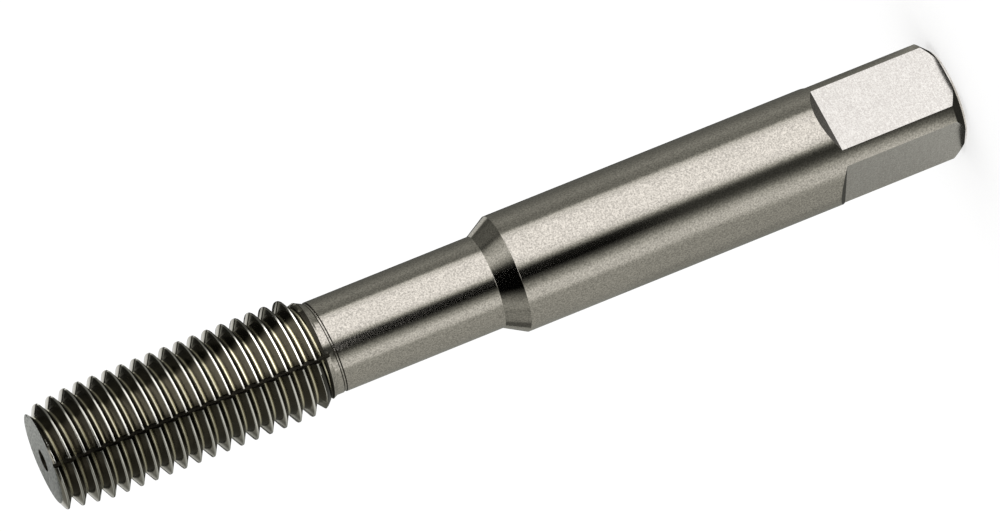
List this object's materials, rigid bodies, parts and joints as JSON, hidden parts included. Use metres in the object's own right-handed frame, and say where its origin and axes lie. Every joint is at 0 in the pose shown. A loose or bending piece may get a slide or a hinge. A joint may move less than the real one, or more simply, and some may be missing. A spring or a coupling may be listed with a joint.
{
  "type": "thread tap",
  "caption": "One-piece thread-forming tap with a tapered lead, narrow oil grooves, relieved neck, round shank and a square drive end.",
  "frame": {"origin": "centre of the square end's face, on the tap's axis", "axes": "+Z runs along the axis from the square end to the threaded tip; two opposite flats of the square face +X and -X, the other two +Y and -Y"},
  "size_m": [0.01, 0.01, 0.08],
  "materials": {
    "ground_steel": "ground"
  },
  "bodies": {
    "root": {"thread_tap": "ground_steel"}
  },
  "joints": []
}
